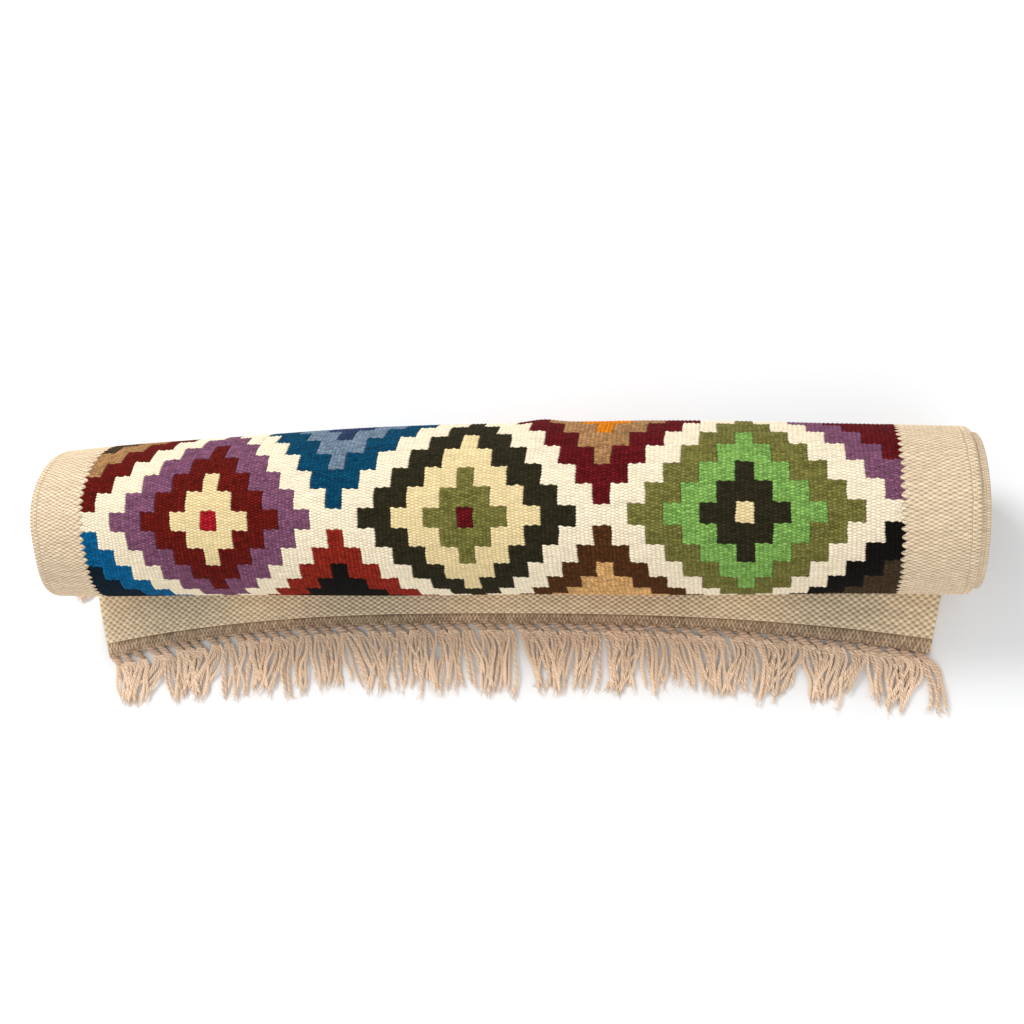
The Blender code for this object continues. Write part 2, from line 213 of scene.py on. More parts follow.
def wool(name, dye, shade, rib_shade, wander, fuzz, dyed_by=None):
    """Wool weft: grains that vary one by one, yarn streaks, fine fibres, and painted shade in the hollows
    between them.
    The two shade numbers are how bright the painted shade is in the hollows and along the lines between
    warps; wander and fuzz say how much grains and fibres vary.  dyed_by names a colour attribute that takes
    the place of the dye."""
    n = Nodes(name)
    chance, crown, rib, across, along = grain_nodes(n)
    streak = n.noise(n.math("MULTIPLY", across, 0.05), n.math("MULTIPLY", along, 0.7), Detail=3.0)
    fibre = n.noise(n.math("MULTIPLY", across, 2.7), n.math("MULTIPLY", along, 1.2),
                    Detail=5.0, Roughness=0.8)
    value = n.math("ADD", n.remap(chance, 0, 1, 1 - wander, 1 + wander),
                   n.remap(streak, 0.3, 0.7, -0.07, 0.07))
    value = n.math("ADD", value, n.remap(fibre, 0.3, 0.7, -fuzz, fuzz))
    # painted shade: darker in the hollows between grains and along the lines between warps, a little lighter
    # on the grains' crowns
    value = n.math("MULTIPLY", value, n.remap(crown, 0.1, 0.75, shade, 1.06))
    value = n.math("MULTIPLY", value, n.remap(rib, 0.0, 0.7, rib_shade, 1.03))
    base = linear(dye) + (1,)
    if dyed_by:
        base = n.add("ShaderNodeAttribute", attribute_name=dyed_by).outputs["Color"]
    # the hollows are also tinted browner: partly painted shade, partly the taupe warps that show through
    tint = n.add("ShaderNodeHueSaturation", {"Saturation": n.remap(crown, 0.1, 0.8, 1.22, 1.0),
                                             "Value": value, "Color": base})
    n.feed(n.shader.inputs["Base Color"], tint.outputs[0])
    n.feed(n.shader.inputs["Roughness"], n.remap(fibre, 0.3, 0.7, 0.96, 0.82))
    lift = n.math("ADD", n.math("MULTIPLY", fibre, 0.45), n.math("MULTIPLY", crown, 0.7))
    bump = n.add("ShaderNodeBump", {"Strength": 0.8, "Distance": 0.0012, "Height": lift})
    n.feed(n.shader.inputs["Normal"], bump.outputs[0])
    n.shader.inputs["Specular IOR Level"].default_value = 0.06
    n.shader.inputs["Sheen Weight"].default_value = 0.02
    n.shader.inputs["Sheen Roughness"].default_value = 0.55
    return n.material


def yarn(name, dye, wander=0.16):
    """Spun yarn: fibres along each ply, and painted shade where two plies meet.  In its UV, u runs along
    the ply; v is a number for each ply plus how far a point faces away from the other ply."""
    n = Nodes(name)
    place = n.add("ShaderNodeUVMap", uv_map="weave").outputs[0]
    split = n.add("ShaderNodeSeparateXYZ", {0: place})
    strand = n.add("ShaderNodeTexWhiteNoise", {"Vector": n.point(n.math("FLOOR", split.outputs[1]), 0.0)},
                   noise_dimensions="2D").outputs["Value"]
    fibre = n.noise(n.math("MULTIPLY", split.outputs[0], 5.0), n.math("MULTIPLY", split.outputs[1], 9.0),
                    Detail=3.0)
    value = n.math("ADD", n.remap(strand, 0, 1, 1 - wander, 1 + wander),
                   n.remap(fibre, 0.3, 0.7, -0.14, 0.14))
    # painted shade: each ply darker and more saturated on its side that faces the other ply
    outward = n.math("FRACT", split.outputs[1])
    value = n.math("MULTIPLY", value, n.remap(outward, 0.10, 0.50, 0.55, 1.04))
    tint = n.add("ShaderNodeHueSaturation", {"Saturation": n.remap(outward, 0.1, 0.6, 1.2, 1.0),
                                             "Value": value, "Color": linear(dye) + (1,)})
    n.feed(n.shader.inputs["Base Color"], tint.outputs[0])
    n.feed(n.shader.inputs["Roughness"], n.remap(fibre, 0.3, 0.7, 0.95, 0.80))
    bump = n.add("ShaderNodeBump", {"Strength": 0.5, "Distance": 0.0004, "Height": fibre})
    n.feed(n.shader.inputs["Normal"], bump.outputs[0])
    n.shader.inputs["Specular IOR Level"].default_value = 0.2
    n.shader.inputs["Sheen Weight"].default_value = 0.08
    return n.material


MATERIALS = {}
# Each look: brightness of the painted shade in the hollows and between warps, then how much grains and fibres
# vary.
PLAIN_WOOL = {"shade": 0.48, "rib_shade": 0.88, "wander": 0.08, "fuzz": 0.09}
PALE_WOOL = {"shade": 0.60, "rib_shade": 0.80, "wander": 0.08, "fuzz": 0.20}
DARK_WOOL = {"shade": 0.54, "rib_shade": 0.66, "wander": 0.26, "fuzz": 0.62}
INNER_WOOL = {"shade": 0.60, "rib_shade": 0.70, "wander": 0.10, "fuzz": 0.12}
LOOKS = {"border": PLAIN_WOOL, "flap_cream_lightened": PLAIN_WOOL, "cream": PALE_WOOL, "straw": PALE_WOOL}


def dyed(dye):
    """The material of a dye, made once."""
    if dye not in MATERIALS:
        if dye in ("fringe", "knot"):
            MATERIALS[dye] = yarn(f"{dye}_yarn", DYES[dye])
        else:
            MATERIALS[dye] = wool(f"{dye}_wool", DYES[dye], **LOOKS.get(dye, DARK_WOOL))
    return MATERIALS[dye]


# ==== mesh building ======================================================================================

def add_mesh(name, points, faces, places, material, smooth=True):
    """An object from point, face and UV arrays.  faces is a list of (count, corners) index arrays."""
    mesh = bpy.data.meshes.new(name)
    loops = np.concatenate([group.ravel() for group in faces]).astype(np.int32)
    sizes = np.concatenate([np.full(len(group), group.shape[1]) for group in faces]).astype(np.int32)
    mesh.vertices.add(len(points))
    mesh.vertices.foreach_set("co", np.asarray(points, np.float32).ravel())
    mesh.loops.add(len(loops))
    mesh.loops.foreach_set("vertex_index", loops)
    mesh.polygons.add(len(sizes))
    mesh.polygons.foreach_set("loop_start", np.concatenate([[0], np.cumsum(sizes)[:-1]]).astype(np.int32))
    mesh.polygons.foreach_set("loop_total", sizes)
    mesh.update(calc_edges=True)
    mesh.polygons.foreach_set("use_smooth", np.full(len(sizes), smooth))
    layer = mesh.uv_layers.new(name="weave")
    layer.data.foreach_set("uv", np.asarray(places, np.float32)[loops].ravel())
    mesh.materials.append(material)
    mesh.validate()
    item = bpy.data.objects.new(name, mesh)
    bpy.context.collection.objects.link(item)
    return item


def hashed(first, second, seed=0):
    """A repeatable random number from 0 to 1 for each pair of whole numbers."""
    mixed = np.sin(first * 12.9898 + second * 78.233 + seed * 37.719) * 43758.5453
    return mixed - np.floor(mixed)


def smooth_noise(first, second, seed):
    """A slow random wave from -1 to 1 over two coordinates."""
    low_first, low_second = np.floor(first), np.floor(second)
    share_first, share_second = (s * s * (3 - 2 * s) for s in (first - low_first, second - low_second))
    near, far = (hashed(low_first, low_second + k, seed) * (1 - share_first)
                 + hashed(low_first + 1, low_second + k, seed) * share_first for k in (0, 1))
    return 2 * (near * (1 - share_second) + far * share_second) - 1


def grain_relief(column, unit, rib):
    """Height of the woven face: 1 on a grain, 0 in the hollow beside it; rib is the warps' share."""
    grain = (1 + np.sin(np.pi * column) * np.sin(np.pi * unit)) / 2
    return rib * np.abs(np.sin(np.pi * column)) ** 0.7 + (1 - rib) * grain ** 0.6


def woven(name, mask, first, place, material, rib, gap=EDGE_EASE):
    """A closed woven patch.  mask[unit, column] says which cells it fills; first is (unit, column) of
    mask[0, 0]; place(column, unit, face, relief) gives points, face 0 being the one that shows."""
    rows, columns = mask.shape
    wide = np.pad(mask, 1)

    def held(dr, dc):
        return wide[1 + dr:rows + 2 + dr, 1 + dc:columns + 2 + dc].astype(int)
    here, left, below, corner = held(0, 0), held(0, -1), held(-1, 0), held(-1, -1)
    ease_c = np.sign(here + below - left - corner)
    ease_r = np.sign(here + left - below - corner)

    def eased(size_r, size_c, stride):
        """Grid positions with the patch's outline drawn back."""
        r, c = np.meshgrid(np.arange(size_r) / stride, np.arange(size_c) / stride, indexing="ij")
        shift_c = np.zeros(r.shape)
        shift_r = np.zeros(r.shape)
        shift_c[::stride, ::stride], shift_r[::stride, ::stride] = ease_c, ease_r
        if stride == 2:
            shift_c[1::2, ::2] = mask_between(wide, rows, columns, 0)
            shift_r[::2, 1::2] = mask_between(wide, rows, columns, 1)
        return r, c, shift_r, shift_c

    def laid(size_r, size_c, stride, face):
        r, c, shift_r, shift_c = eased(size_r, size_c, stride)
        unit, column = r + first[0], c + first[1]
        relief = grain_relief(column, unit, rib) if face == 0 else np.zeros(r.shape)
        points = place(column + shift_c * gap, unit + shift_r * gap, face, relief)
        return np.stack(points, -1).reshape(-1, 3), np.stack([column, unit], -1).reshape(-1, 2)

    fine_points, fine_places = laid(2 * rows + 1, 2 * columns + 1, 2, 0)
    base_points, base_places = laid(rows + 1, columns + 1, 1, 1)
    offset = len(fine_points)

    def fine(r, c):
        return r * (2 * columns + 1) + c

    def base(r, c):
        return offset + r * (columns + 1) + c

    r, c = np.nonzero(np.repeat(np.repeat(mask, 2, 0), 2, 1))
    quads = np.stack([fine(r, c), fine(r + 1, c), fine(r + 1, c + 1), fine(r, c + 1)], 1)
    r, c = np.nonzero(mask)
    backs = np.stack([base(r, c), base(r, c + 1), base(r + 1, c + 1), base(r + 1, c)], 1)
    walls = []
    inner = wide[1:-1, 1:-1]
    for dr, dc in ((0, 1), (0, -1), (1, 0), (-1, 0)):
        r, c = np.nonzero(inner & ~wide[1 + dr:rows + 1 + dr, 1 + dc:columns + 1 + dc])
        if dc == 1:
            ring = (fine(2*r, 2*c+2), fine(2*r+1, 2*c+2), fine(2*r+2, 2*c+2), base(r+1, c+1), base(r, c+1))
        elif dc == -1:
            ring = (fine(2*r+2, 2*c), fine(2*r+1, 2*c), fine(2*r, 2*c), base(r, c), base(r+1, c))
        elif dr == 1:
            ring = (fine(2*r+2, 2*c+2), fine(2*r+2, 2*c+1), fine(2*r+2, 2*c), base(r+1, c), base(r+1, c+1))
        else:
            ring = (fine(2*r, 2*c), fine(2*r, 2*c+1), fine(2*r, 2*c+2), base(r, c+1), base(r, c))
        walls.append(np.stack(ring, 1))
    walls = np.concatenate(walls)
    used, index = np.unique(np.concatenate([quads.ravel(), backs.ravel(), walls.ravel()]),
                            return_inverse=True)
    index = index.ravel()
    cuts = np.cumsum([quads.size, backs.size])
    quads, backs, walls = (part.reshape(shape) for part, shape in
                           zip(np.split(index, cuts), (quads.shape, backs.shape, walls.shape)))
    points = np.concatenate([fine_points, base_points])[used]
    places = np.concatenate([fine_places, base_places])[used]
    return add_mesh(name, points, [quads, backs, walls], places, material)


def mask_between(wide, rows, columns, axis):
    """Which side of each unit edge is filled: across column lines for axis 0, along rows for axis 1."""
    if axis == 0:
        return wide[1:rows + 1, 1:columns + 2].astype(int) - wide[1:rows + 1, 0:columns + 1].astype(int)
    return wide[1:rows + 2, 1:columns + 1].astype(int) - wide[0:rows + 1, 1:columns + 1].astype(int)


# ==== where the cloth lies ===============================================================================

def bulge(x, angle):
    """The roll is fuller at the back in the middle than at its ends, with a soft crease right of centre."""
    share = np.abs(x) / HALF_WIDTH
    crease = CREASE * np.exp(-((x - CREASE_X) / CREASE_WIDTH) ** 2)
    amount = BACK_BULGE - BULGE_LOSS * share ** 1.9 + crease
    lean = np.cos(np.clip(angle - math.radians(112), -math.pi / 2, math.pi / 2)) ** 2
    belly = np.cos(np.clip((angle - math.radians(290)) * 1.35, -math.pi / 2, math.pi / 2)) ** 2
    ripple = RIPPLE * np.sin(x * 21 + angle * 2) * np.sin(angle) ** 2
    return amount * lean + BELLY * belly + ripple


def skew(x, angle):
    """How far the turns stand out to the left, low down at the front, where they were rolled unevenly."""
    share = np.clip(0.25 - x / 0.6, 0, 1) ** 1.3
    low = np.cos(np.clip((angle - math.radians(285)) * 1.2, -math.pi / 2, math.pi / 2)) ** 2
    return SKEW * share * low


def scalloped(column, unit):
    """The same place moved a little, so that each grain crowds the grains beside it."""
    calm = np.prod([1 - np.exp(-(column - edge) ** 2) for edge in FIELD_EDGES], axis=0)
    sideways = 0.14 * np.cos(np.pi * column) * np.sin(np.pi * unit) * calm
    return column - sideways, unit - GRAIN_SWELL * np.sin(np.pi * column) * np.cos(np.pi * unit)


def woven_by_hand(column, row):
    """The column and pattern row where a place really lies: uneven beating, and teeth at the sides."""
    lobes = TOOTH * (1 - 2 * np.abs(np.sin(row * TEETH_PER_ROW * math.pi)))
    teeth = sum(side * lobes * np.exp(-((column - edge) / 1.5) ** 2)
                for edge, side in zip(FIELD_EDGES, (-1, 1)))
    drift = 0.20 * smooth_noise(column / 3.1, row * 1.7, 1) + 0.10 * smooth_noise(column / 1.7, row * 5.1, 4)
    beat = 0.055 * smooth_noise(column / 7.3, row * 0.9, 2) + 0.040 * smooth_noise(column / 1.8, row * 3.1, 3)
    inside = np.clip(np.minimum(column, COLUMNS - column) / 3, 0, 1)
    return column + teeth + drift * inside, row + beat


def column_x(column):
    return (column - COLUMNS / 2) * COLUMN_WIDTH


def rolled(x, angle, depth):
    """A point of the rolled cloth; angle 0 is on the floor and grows up the back."""
    layer = ROLL_PITCH * np.maximum(angle - FLAT_ANGLE, 0) / TURN + depth
    radius = ROLL_RADIUS - layer + bulge(x, np.mod(angle, TURN))
    height = ROLL_RADIUS - FLAT_SINK - radius * np.cos(angle)
    x = x - skew(x, np.mod(angle, TURN))
    return x, radius * np.sin(angle), np.maximum(height, layer)


def outer_turn(row_units):
    """The place function of the outermost turn, for cloth with this many wefts in a pattern row."""
    def place(column, unit, face, relief):
        edge = np.minimum(column, COLUMNS - column)
        rounding = EDGE_ROUNDING * np.exp(-(edge / 0.45) ** 2)
        depth = CLOTH - rounding if face else RELIEF * (1 - relief) + rounding
        if row_units == ROW_UNITS:
            column, unit = scalloped(column, unit)
        column, row = woven_by_hand(column, unit / row_units)
        return rolled(column_x(column), row * ROW_ANGLE, depth)
    return place


def edge_half(right, y):
    """How far from the middle the cloth's left or right edge lies on the floor."""
    bow, hinge, corner = (np.where(right, pair[1], pair[0]) for pair in (END_BOWS, HINGE_DRAWS, CORNER_DRAWS))
    near = np.clip(y / HINGE_Y, 0, 1)
    far = np.clip((HINGE_Y - y) / (FLAP_END + bow + HINGE_Y), 0, 1.2)
    return HALF_WIDTH - hinge * near - (corner - hinge) * far


def flap_xy(across, reach):
    """Where the outer end lies: across runs from -1 to 1, reach is the distance out at mid width."""
    right = across > 0
    bow = np.where(right, END_BOWS[1], END_BOWS[0])
    y = -np.where(reach > 0, reach * (1 + bow / FLAP_END * np.abs(across) ** BOW_POWER), reach)
    return across * edge_half(right, y), y


def flap_wave(x, y):
    """Gentle lift of the free end off the floor."""
    free = np.clip((-y - 0.070) / 0.05, 0, 1)
    return free * FLAP_WAVE * (1 + np.sin(x * 17 + 1.0) * np.cos(x * 5.3 + y * 30))


def flap_place(column, unit, face, relief):
    """The outer end on the floor; its upper face shows.  Unit 0 is the edge under the roll."""
    across = column / COLUMNS * 2 - 1
    reach = unit * FLAP_UNIT - FLAP_START
    x, y = flap_xy(across, reach)
    height = flap_wave(x, y) + (0 if face else CLOTH - RELIEF * (1 - relief))
    return x, y, height + 0 * x


# ==== the pattern ========================================================================================

# Each diamond: CAD name, step column, row if it has one, and its dyes from the centre out.
WHOLE = (("left", -16, ("crimson", "straw", "rust", "purple")),
         ("middle", 0, ("burgundy", "olive", "straw", "charcoal")),
         ("right", 16, ("straw", "charcoal", "leaf", "olive")))
RING_NAMES = ("centre", "cross", "middle_ring", "outer_ring")
STAGGERED = (("upper_far_left", -24, 7, ("umber", "taupe_motif", "rust")),
             ("upper_left", -8, 7, ("navy", "slate", "teal")),
             ("upper_right", 8, 7, ("orange", "taupe_motif", "burgundy")),
             ("upper_far_right", 24, 7, ("burgundy", "burgundy", "purple")),
             ("lower_far_left", -24, -7, ("ink", "ink", "blue")),
             ("lower_left", -8, -7, ("black", "black", "brick")),
             ("lower_right", 8, -7, ("tan", "tan", "brown")),
             ("lower_far_right", 24, -7, ("umber", "umber", "black")))
ENDS = (("end_left", -16, ("orange", "tan", "leaf")),
        ("end_middle", 0, ("straw", "orange", "crimson")),
        ("end_right", 16, ("crimson", "slate", "teal")))


def pattern_patches():
    """(piece name, CAD node, dye, diamond's step column and row, first and last ring step) of each motif."""
    for name, column, dyes in WHOLE:
        low = 0
        for ring, high, dye in zip(RING_NAMES, RING_ENDS, dyes):
            yield f"{name}_diamond_{ring}_wool", f"{name}_diamond_{ring}", dye, column, 0, low, high
            low = high + 1
    bands = (("heart", 0, RING_ENDS[1]), ("middle", RING_ENDS[1] + 1, RING_ENDS[2]),
             ("outer", RING_ENDS[2] + 1, RING_ENDS[3]))
    cut = [(*diamond, ("diamond_core", "diamond_core", "diamond_ring")) for diamond in STAGGERED]
    cut += [(name, column, FIRST_ROW, dyes, ("diamond",) * 3) for name, column, dyes in ENDS]
    for name, column, row, dyes, nodes in cut:
        for (band, low, high), dye, node in zip(bands, dyes, nodes):
            yield f"{name}_{band}_wool", f"{name}_{node}", dye, column, row, low, high


def trimmed(mask):
    """The mask's filled box and its first unit and column."""
    rows, columns = np.nonzero(mask.any(1))[0], np.nonzero(mask.any(0))[0]
    return mask[rows[0]:rows[-1] + 1, columns[0]:columns[-1] + 1], rows[0], columns[0]


def woven_patch(name, node, mask, dye, row_units):
    """One patch of the outermost turn.  Its mask covers the turn from half a row up."""
    part, row, column = trimmed(mask)
    plain = row_units == BORDER_UNITS
    item = woven(name, part, (row + row_units // 2, column), outer_turn(row_units), dyed(dye),
                 rib=PLAIN_RIB if plain else FIELD_RIB, gap=0.0 if plain else EDGE_EASE)
    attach(item, "roll")
    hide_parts(node)
    return item


def turn_grid(row_units):
    """Unit and column of every cell of the outermost turn."""
    units = np.arange(row_units // 2, OUTER_ROWS * row_units + 2)
    return np.meshgrid(units, np.arange(COLUMNS), indexing="ij")


def weave_field():
    """The diamonds and the cream ground between them."""
    unit, column = turn_grid(ROW_UNITS)
    inside = (column >= FIELD_EDGES[0]) & (column < FIELD_EDGES[1])
    step = (column - FIELD_CENTRE + STEP_COLUMNS // 2) // STEP_COLUMNS
    row = FIRST_ROW - unit // ROW_UNITS
    pieces = []
    left = inside.copy()
    for name, node, dye, at, at_row, low, high in pattern_patches():
        distance = np.abs(step - at) + np.abs(row - at_row)
        mask = inside & (distance >= low) & (distance <= high)
        left &= ~mask
        pieces.append(woven_patch(name, node, mask, dye, ROW_UNITS))
    for number, (start, end) in enumerate(zip(GROUND_SPLITS, GROUND_SPLITS[1:])):
        mask = left & (column >= start) & (column < end)
        pieces.append(woven_patch(f"field_ground_{number + 1}_wool", "field_ground", mask, "cream",
                                  ROW_UNITS))
    return pieces


def weave_borders():
    """The plain borders and the thick edge cords."""
    unit, column = turn_grid(BORDER_UNITS)
    edge = (column < SELVEDGE_COLUMNS) | (column >= COLUMNS - SELVEDGE_COLUMNS)
    pieces = []
    for name, side in (("left", column < FIELD_EDGES[0]), ("right", column >= FIELD_EDGES[1])):
        pieces.append(woven_patch(f"{name}_border_wool", f"{name}_border", side & ~edge, "border",
                                  BORDER_UNITS))
        pieces.append(woven_patch(f"{name}_selvedge_wool", f"{name}_selvedge", side & edge, "border",
                                  BORDER_UNITS))
    return pieces


# ==== the cloth inside the roll ==========================================================================

def coarse_cloth(name, node, lines, place):
    """A plain closed sheet that carries the pattern as dyed cells; place(x, line, face) gives points."""
    across = np.linspace(-HALF_WIDTH, HALF_WIDTH, COLUMNS // 2 + 1)
    across = np.concatenate([across[:1], [across[0] + LIP], across[1:-1], [across[-1] - LIP], across[-1:]])
    columns = len(across)
    line, x = np.meshgrid(lines, across, indexing="ij")
    sides = [np.stack(place(x, line, face), -1).reshape(-1, 3) for face in (0, 1)]
    rows, count = len(lines), line.size

    def at(r, c, face):
        return face * count + r * columns + c
    r, c = (grid.ravel() for grid in np.meshgrid(np.arange(rows - 1), np.arange(columns - 1), indexing="ij"))
    faces = [np.stack([at(r, c, 0), at(r + 1, c, 0), at(r + 1, c + 1, 0), at(r, c + 1, 0)], 1),
             np.stack([at(r, c, 1), at(r, c + 1, 1), at(r + 1, c + 1, 1), at(r + 1, c, 1)], 1)]
    r, c, end, tip = np.arange(rows - 1), np.arange(columns - 1), columns - 1, rows - 1
    faces += [np.stack([at(r + 1, 0, 0), at(r, 0, 0), at(r, 0, 1), at(r + 1, 0, 1)], 1),
              np.stack([at(r, end, 0), at(r + 1, end, 0), at(r + 1, end, 1), at(r, end, 1)], 1),
              np.stack([at(0, c, 0), at(0, c + 1, 0), at(0, c + 1, 1), at(0, c, 1)], 1),
              np.stack([at(tip, c + 1, 0), at(tip, c, 0), at(tip, c, 1), at(tip, c + 1, 1)], 1)]
    places = np.tile(np.stack([x / COLUMN_WIDTH + COLUMNS / 2, line * ROW_UNITS], -1).reshape(-1, 2), (2, 1))
    item = add_mesh(name, np.concatenate(sides), faces, places, MATERIALS["inner"])
    dye_cells(item)
    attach(item, "roll")
    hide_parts(node)
    return item


REPEAT_STEPS, REPEAT_ROWS = 16, 14    # from one whole diamond to the next, across and along
REPEAT_DYES = (("crimson", "straw", "rust", "purple"), ("navy", "tan", "slate", "teal"),
               ("burgundy", "olive", "straw", "charcoal"), ("orange", "burgundy", "taupe_motif", "brown"),
               ("straw", "charcoal", "leaf", "olive"), ("leaf", "black", "tan", "brick"))


def dye_cells(item):
    """Colours each face from the repeating diamond pattern at its place in the cloth."""
    mesh = item.data
    count = len(mesh.polygons)
    sizes = np.empty(count, int)
    mesh.polygons.foreach_get("loop_total", sizes)
    uv = np.empty(len(mesh.loops) * 2)
    mesh.uv_layers["weave"].data.foreach_get("uv", uv)
    owner = np.repeat(np.arange(count), sizes)
    middle = np.stack([np.bincount(owner, uv[k::2]) / sizes for k in (0, 1)], 1)
    step = np.round((middle[:, 0] - FIELD_CENTRE) / STEP_COLUMNS).astype(int)
    row = FIRST_ROW - np.floor(middle[:, 1] / ROW_UNITS).astype(int)
    table = np.array([linear(DYES[dye]) for group in REPEAT_DYES for dye in group])
    colours = np.tile(np.array(linear(DYES["cream"])), (count, 1))
    colours[np.abs(step) > FIELD_HALF] = linear(DYES["border"])
    for offset_step, offset_row, shift in ((0, 0, 0), (REPEAT_STEPS // 2, REPEAT_ROWS // 2, 3)):
        m = np.round((step - offset_step) / REPEAT_STEPS).astype(int)
        n = np.round((row - offset_row) / REPEAT_ROWS).astype(int)
        distance = (np.abs(step - offset_step - REPEAT_STEPS * m)
                    + np.abs(row - offset_row - REPEAT_ROWS * n))
        ring = np.searchsorted(RING_ENDS, distance)
        group = np.mod(m * 2 + n * 5 + shift, len(REPEAT_DYES))
        inside = (distance <= RING_ENDS[-1]) & (np.abs(step) <= FIELD_HALF) & (row <= FIRST_ROW)
        colours[inside] = table[(group * 4 + np.minimum(ring, 3))[inside]]
    layer = mesh.color_attributes.new("dye", "FLOAT_COLOR", "CORNER")
    layer.data.foreach_set("color", np.concatenate([colours[owner], np.ones((len(owner), 1))], 1).ravel())


def inner_cloth():
    """The deeper turns, the inner half that lies against them, and the fold that joins the two."""
    MATERIALS["inner"] = wool("inner_wool", DYES["cream"], dyed_by="dye", **INNER_WOOL)
    per_row = 4

    def thickness(x, face):
        """Depth of a face of the sheet, which is rounded at its edges."""
        rounding = LIP * (np.abs(x) > HALF_WIDTH - LIP / 2)
        return face * CLOTH + rounding * (1 - 2 * face)

    def deep(x, line, face):
        return rolled(x, line * ROW_ANGLE, thickness(x, face) + FACE_GAP)

    def under(x, line, face):
        depth = CLOTH + LAYER_GAP + thickness(x, face)
        x = x + INNER_SHIFT
        floor_y = line * ROLL_RADIUS * ROW_ANGLE
        px, py, pz = rolled(x, np.maximum(line, 0) * ROW_ANGLE, depth)
        return px, np.where(line < 0, floor_y, py), np.where(line < 0, depth, pz)

    start = OUTER_ROWS + 0.25
    deep_lines = np.linspace(start, ROLLED_ROWS, int((ROLLED_ROWS - start) * per_row) + 1)
    tail = -TUCKED_END / (ROLL_RADIUS * ROW_ANGLE)
    under_lines = np.concatenate([[tail, tail / 2], np.linspace(0, ROLLED_ROWS, ROLLED_ROWS * per_row + 1)])
    pieces = [coarse_cloth("inner_turns_wool", "inner_turns", deep_lines, deep),
              coarse_cloth("under_half_wool", "under_half", under_lines, under)]

    angle = ROLLED_ROWS * ROW_ANGLE
    ends = np.array([rolled(0.0, angle, depth)[1:] for depth in
                     (FACE_GAP, 2 * CLOTH + LAYER_GAP - FACE_GAP)])
    before = np.array(rolled(0.0, angle - 0.05, 0.0)[1:])
    along = ends[0] - before
    along /= np.linalg.norm(along)
    middle, half = ends.mean(0), (ends[0] - ends[1]) / 2
    reach = np.linalg.norm(half)

    def fold(x, line, face):
        """line runs over the turned edge; the inner face is a thin core."""
        size = 1 - 0.93 * face
        turn = line * math.pi
        y, z = (middle[k] + size * (half[k] * np.cos(turn) + along[k] * reach * np.sin(turn))
                + along[k] * 0.0004 for k in (0, 1))
        return x, y, z
    pieces.append(coarse_cloth("core_fold_wool", "core_fold", np.linspace(0, 1, 17), fold))
    return pieces


# ==== the end border, flap, band and knots =================================================================

def end_cloth():
    """One cloth from under the roll to the band; its free end lifts a little off the floor."""
    mask = np.ones((FLAP_UNITS, COLUMNS), bool)
    # the flap is dyed lighter than the border: painted light against the roll's shadow
    item = woven("end_border_wool", mask, (0, 0), flap_place, dyed("flap_cream_lightened"), rib=END_RIB)
    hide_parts("end_border", "flap_panel")
    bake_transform(item)
    return item


def band_height(face, relief):
    return 0 if face else CLOTH - BAND_RIM - RELIEF * (1 - relief)


def end_band():
    """The taupe band: close ribs with only a few wefts between them."""

    def place(column, unit, face, relief):
        across = column / (COLUMNS * 2) * 2 - 1
        reach = FLAP_END - BAND_WIDTH + BAND_RIM + unit / BAND_UNITS * (BAND_WIDTH - 2 * BAND_RIM)
        x, y = flap_xy(across, reach)
        return x, y, flap_wave(x, y) + band_height(face, relief) + 0 * x
    mask = np.ones((BAND_UNITS, COLUMNS * 2), bool)
    item = woven("end_band_wool", mask, (0, 0), place, dyed("taupe"), rib=BAND_RIB)
    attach(item, "flap")
    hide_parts("end_band")
    return item


def run_length(path):
    """How far along its path each point lies."""
    return np.concatenate([[0], np.cumsum(np.linalg.norm(np.diff(path, axis=0), axis=1))])


